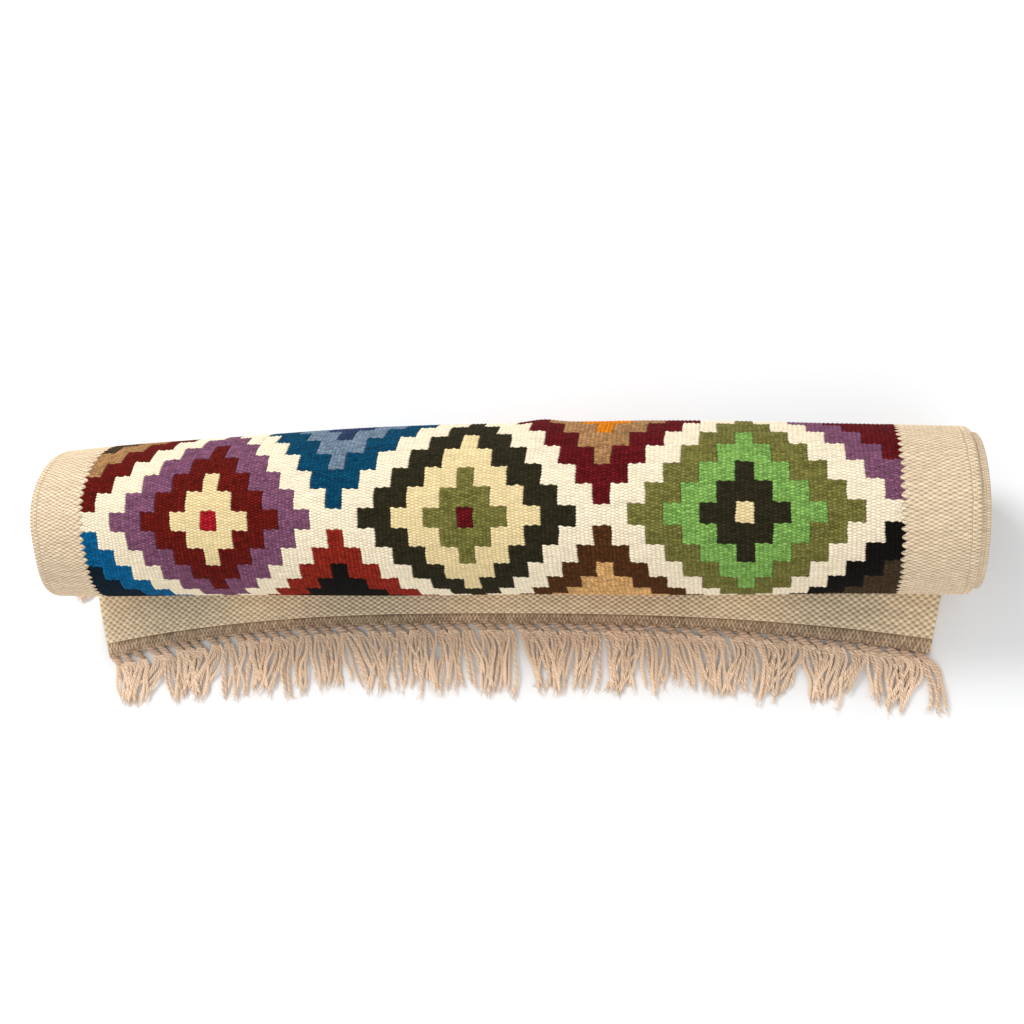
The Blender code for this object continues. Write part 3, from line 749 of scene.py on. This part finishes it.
class Tubes:
    """Collects many thin tubes into one mesh."""

    def __init__(self):
        self.points, self.faces, self.places, self.caps = [], [], [], {}
        self.count = 0
        self.number = 0

    def add(self, path, radius, sides=5, inward=None):
        """A closed tube along path, an (n, 3) array; radius is a number or one for each point, and inward
        the angle at each point that faces a neighbouring ply."""
        path = np.asarray(path, float)
        n = len(path)
        along = np.gradient(path, axis=0)
        along /= np.maximum(np.linalg.norm(along, axis=1), 1e-9)[:, None]
        aside = np.cross(along, (0, 0, 1.0))
        weak = np.linalg.norm(aside, axis=1) < 0.2
        aside[weak] = np.cross(along[weak], (0, 1.0, 0))
        aside /= np.linalg.norm(aside, axis=1)[:, None]
        over = np.cross(aside, along)
        turn = np.arange(sides) * TURN / sides
        radius = np.broadcast_to(radius, (n,))
        ring = aside[:, None] * np.cos(turn)[:, None] + over[:, None] * np.sin(turn)[:, None]
        points = path[:, None] + ring * radius[:, None, None]
        self.points.append(points.reshape(-1, 3))
        run = run_length(path) / 0.004
        # facing feeds the yarn's painted shade where plies meet; 0.9 leaves a tube without it
        facing = np.full((n, sides), 0.9) if inward is None else (
            0.5 - 0.45 * np.cos(turn[None, :] - np.asarray(inward)[:, None]))
        places = np.broadcast_arrays(run[:, None], self.number + facing)
        self.places.append(np.stack(places, -1).reshape(-1, 2))
        i, k = (g.ravel() for g in np.meshgrid(np.arange(n - 1), np.arange(sides), indexing="ij"))
        after = (k + 1) % sides
        base = self.count
        quads = np.stack([i * sides + k, i * sides + after, (i + 1) * sides + after, (i + 1) * sides + k], 1)
        self.faces.append(quads[:, ::-1] + base)
        self.caps.setdefault(sides, []).append(base + np.arange(sides))
        self.caps[sides].append(base + (n - 1) * sides + np.arange(sides)[::-1])
        self.count += n * sides
        self.number += 1

    def build(self, name, material):
        caps = [np.array(rings) for rings in self.caps.values()]
        return add_mesh(name, np.concatenate(self.points), [np.concatenate(self.faces)] + caps,
                        np.concatenate(self.places), material)


def two_ply(tubes, path, radius, pitch, turn):
    """Two plies wound round a path, running together to a point at its end."""
    run = run_length(path)
    along = np.gradient(path, axis=0)
    along /= np.linalg.norm(along, axis=1)[:, None]
    aside = np.cross(along, (0, 0, 1.0))
    aside /= np.maximum(np.linalg.norm(aside, axis=1), 1e-6)[:, None]
    over = np.cross(aside, along)
    left = 1 - run / run[-1]
    thin = np.clip(left * 9, 0.25, 1) * radius
    for side in (0, 1):
        phase = turn + side * math.pi + run / pitch * TURN
        offset = aside * np.cos(phase)[:, None] + over * np.sin(phase)[:, None]
        # inward tells the yarn where to paint shade between the two plies
        tubes.add(path + offset * (thin * 0.85)[:, None], thin, 6, inward=phase + math.pi)


def strand_path(start, headings, length, wobble, floor, steps):
    """A limp strand: it leaves start along the first heading, bends to the second and lies on the floor.
    wobble is the swing of its waves, how many there are, their phase, and how high it bows up."""
    t = np.linspace(0, 1, steps)
    turned = np.clip(t * 2.4, 0, 1)
    angle = headings[0] + (headings[1] - headings[0]) * turned * turned * (3 - 2 * turned)
    angle = angle + wobble[0] * np.sin(t * math.pi * wobble[1] + wobble[2]) * np.minimum(t * 4, 1)
    step = np.stack([np.cos(angle), np.sin(angle)], 1) * length / (steps - 1)
    flat = np.concatenate([[[0, 0]], np.cumsum(step[:-1], axis=0)]) + np.asarray(start[:2])
    height = floor + (start[2] - floor) * np.exp(-t * 7) + wobble[3] * np.sin(t * math.pi) ** 2
    return np.column_stack([flat, height])


def tassel(tubes, knot, lean, aim, length, rng, strands=5, floor=0.0020):
    """Strands that leave one knot along lean and bend towards aim, fraying at their tips."""
    for number in range(strands):
        spread = (number - (strands - 1) / 2) / strands
        headings = (lean + spread * 0.8, aim + spread * rng.uniform(0.05, 0.30) + rng.normal(0, 0.05))
        wobble = (rng.uniform(0.08, 0.30), rng.uniform(1.2, 3.0), rng.uniform(0, TURN),
                  rng.uniform(0, 0.0030))
        begin = np.array(knot) + (spread * 0.0095, rng.uniform(-0.0010, 0.0010),
                                  rng.uniform(-0.0006, 0.0012))
        level = floor + rng.uniform(0, 0.0030)
        path = strand_path(begin, headings, length * rng.uniform(0.82, 1.07), wobble, level, steps=62)
        two_ply(tubes, path, STRAND, PLY_PITCH * rng.uniform(0.9, 1.1), rng.uniform(0, TURN))
        for hair in range(4):
            back = path[-rng.integers(2, 8)]
            headings = (headings[1] + rng.normal(0, 0.4), headings[1] + rng.normal(0, 0.7))
            wave = (rng.uniform(0, 0.5), 1.5, rng.uniform(0, TURN), 0.0)
            tip = strand_path(back, headings, rng.uniform(0.004, 0.010), wave, max(0.0008, back[2] * 0.5), 6)
            tubes.add(tip, np.linspace(*HAIR, 6), 3)


def knot(tubes, place, rng):
    """A wrapped knot: three thick plies wound together, lying slantwise along the band."""
    start = np.array(place) + (-0.0066, 0.0042, 0.0006)
    end = np.array(place) + (0.0062 + rng.normal(0, 0.0006), -0.0042 + rng.normal(0, 0.0005), -0.0004)
    t = np.linspace(0, 1, 30)
    core = start + (end - start) * t[:, None] + np.array([0, 0, 0.0012]) * np.sin(np.pi * t)[:, None]
    along = (end - start) / np.linalg.norm(end - start)
    aside = np.cross(along, (0, 0, 1.0))
    over = np.cross(aside, along)
    swell = 0.45 + 0.55 * np.sin(np.pi * np.clip(t, 0.05, 0.95)) ** 0.6
    phase = rng.uniform(0, TURN)
    for ply in range(3):
        turn = phase + ply * TURN / 3 + t * TURN * 1.15
        offset = aside * np.cos(turn)[:, None] + over * (np.sin(turn) * 0.8)[:, None]
        # inward tells the yarn where to paint shade between the knot's plies
        tubes.add(core + offset * (0.0018 * swell)[:, None], 0.0017 * swell, 8, inward=turn + math.pi)


def clump_centres(rng):
    """For each knot, where across the flap its strands lean to, two to five knots to a clump."""
    centres = []
    while len(centres) < KNOTS:
        count = int(rng.integers(2, 6))
        middle = len(centres) + (count - 1) / 2 + rng.normal(0, 1.0)
        centres += [min(max(2 * (middle + 0.5) / KNOTS - 1, -0.985), 0.975)] * count
    return centres[:KNOTS]


def fringe():
    rng = np.random.default_rng(31)
    per_bundle = KNOTS // BUNDLES
    centres = clump_centres(rng)
    knots = Tubes()
    pieces = []
    for bundle in range(BUNDLES):
        tubes = Tubes()
        for index in range(bundle * per_bundle, (bundle + 1) * per_bundle):
            across = (2 * (index + 0.5) / KNOTS - 1) + rng.normal(0, 0.0035)
            x, y = (float(v) for v in flap_xy(np.float64(across), np.float64(FLAP_END + KNOT_REACH)))
            slope = 0.0 if abs(across) < 0.5 else -0.16 * math.copysign(1, across)
            height = KNOT_HEIGHT + float(flap_wave(x, y))
            knot(knots, (x, y + slope * 0.002, height), rng)
            length = TASSEL_LENGTH * (1.02 - CORNER_SHORTER * across ** 2) * rng.uniform(0.93, 1.07)
            gather = (centres[index] - across) * HALF_WIDTH * 0.85 + across * 0.006
            aim = math.atan2(-length, gather + rng.normal(0, 0.004))
            start = (x + 0.0044, y - 0.0034, height)
            tassel(tubes, start, TASSEL_HEADING + rng.normal(0, 0.18), aim, length, rng)
        item = tubes.build(f"fringe_bundle_{bundle + 1:02d}_yarn", dyed("fringe"))
        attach(item, "flap")
        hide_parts(f"fringe_bundle_{bundle + 1:02d}")
        pieces.append(item)
    row = knots.build("knot_row_yarn", dyed("knot"))
    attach(row, "flap")
    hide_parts("knot_row")
    return pieces + [row]


def tucked_end():
    """The inner end under the roll: its band and fringe, and the stray tassel at the left."""
    rng = np.random.default_rng(47)
    level = CLOTH + LAYER_GAP

    def place(column, unit, face, relief):
        x = column_x(column / 2) + INNER_SHIFT
        y = -TUCKED_END - BAND_RIM - unit / BAND_UNITS * (BAND_WIDTH - 2 * BAND_RIM)
        return x, y + 0 * x, level + band_height(face, relief) + 0 * x
    mask = np.ones((BAND_UNITS, COLUMNS * 2), bool)
    band = woven("tucked_end_band_wool", mask, (0, 0), place, dyed("taupe"), rib=BAND_RIB)
    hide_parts("tucked_end_band")
    tubes = Tubes()
    start = -TUCKED_END - BAND_WIDTH
    for number in range(KNOTS):
        x = (2 * (number + 0.5) / KNOTS - 1) * (HALF_WIDTH - TUCKED_INSET) + INNER_SHIFT
        knot(tubes, (x, start - 0.0040, level + KNOT_HEIGHT), rng)
        for strand in range(4):
            headings = (STRAIGHT_OUT + rng.normal(0, 0.2), STRAIGHT_OUT + rng.normal(0, 0.25))
            root = (x + 0.004 + rng.normal(0, 0.001), start - 0.0070, level + 0.0026)
            wave = (rng.uniform(0.05, 0.3), 1.3, rng.uniform(0, TURN), 0.0)
            path = strand_path(root, headings, TUCKED_FRINGE * 0.60, wave,
                               level + rng.uniform(0.0016, 0.0022), 14)
            two_ply(tubes, path, STRAND, PLY_PITCH, rng.uniform(0, TURN))
    fringe_item = tubes.build("tucked_fringe_yarn", dyed("fringe"))
    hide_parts("tucked_fringe")

    tubes = Tubes()
    for x, y, degrees, length in STRAY_TASSELS:
        knot(tubes, (x, y, STRAY_HEIGHT), rng)
        heading = math.radians(degrees)
        start = (x - 0.004, y - 0.002, STRAY_HEIGHT)
        tassel(tubes, start, heading, heading - 0.1, length, rng, strands=4)
    stray = tubes.build("stray_tassel_yarn", dyed("fringe"))
    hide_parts("stray_tassel")
    for item in (band, fringe_item, stray):
        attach(item, "roll")
    return [band, fringe_item, stray]


# ==== the stage ==========================================================================================

def stage():
    """A pale floor, a soft key light from the upper left and behind, a weak fill, and the camera."""
    side = FLOOR_SIZE
    corners = [(x, y, -FLOOR_DEPTH) for x, y in ((-side, -side), (side, -side), (side, side), (-side, side))]
    floor = add_mesh("floor", corners, [np.array([[0, 1, 2, 3]])], np.zeros((4, 2)), floor_paint(),
                     smooth=False)
    world = bpy.data.worlds.new("studio")
    world.use_nodes = True
    world.node_tree.nodes["Background"].inputs["Color"].default_value = SKY_COLOUR
    world.node_tree.nodes["Background"].inputs["Strength"].default_value = SKY_STRENGTH
    bpy.context.scene.world = world
    bpy.context.scene.view_settings.view_transform = "Standard"
    for name, place, width, power in LIGHTS:
        light = bpy.data.lights.new(name, "AREA")
        light.size = width
        light.energy = power
        lamp = bpy.data.objects.new(name, light)
        lamp.location = place
        direction = -np.array(place)
        lamp.rotation_euler = (math.acos(-direction[2] / np.linalg.norm(direction)), 0,
                               math.atan2(direction[1], direction[0]) - math.pi / 2)
        bpy.context.collection.objects.link(lamp)
    camera = bpy.data.objects.new("camera", bpy.data.cameras.new("camera"))
    camera.data.lens = CAMERA_LENS
    camera.data.sensor_width = CAMERA_SENSOR
    camera.location = CAMERA_PLACE
    camera.rotation_euler = [math.radians(degrees) for degrees in CAMERA_TURN]
    bpy.context.collection.objects.link(camera)
    bpy.context.scene.camera = camera


def floor_paint():
    n = Nodes("floor_paint")
    place = n.add("ShaderNodeTexCoord").outputs["Object"]
    cloud = n.add("ShaderNodeTexNoise", {"Vector": place, "Scale": 1.5, "Detail": 2.0})
    tone = n.remap(cloud.outputs[0], 0, 1, 0.88, 0.92)
    grey = n.add("ShaderNodeCombineColor", {0: tone, 1: tone, 2: tone})
    n.feed(n.shader.inputs["Base Color"], grey.outputs[0])
    n.shader.inputs["Roughness"].default_value = 0.8
    return n.material


# ==== all together =======================================================================================

stage()
cloths = weave_field() + weave_borders() + inner_cloth()
flap = end_cloth()
cloths += [end_band()] + fringe() + tucked_end()
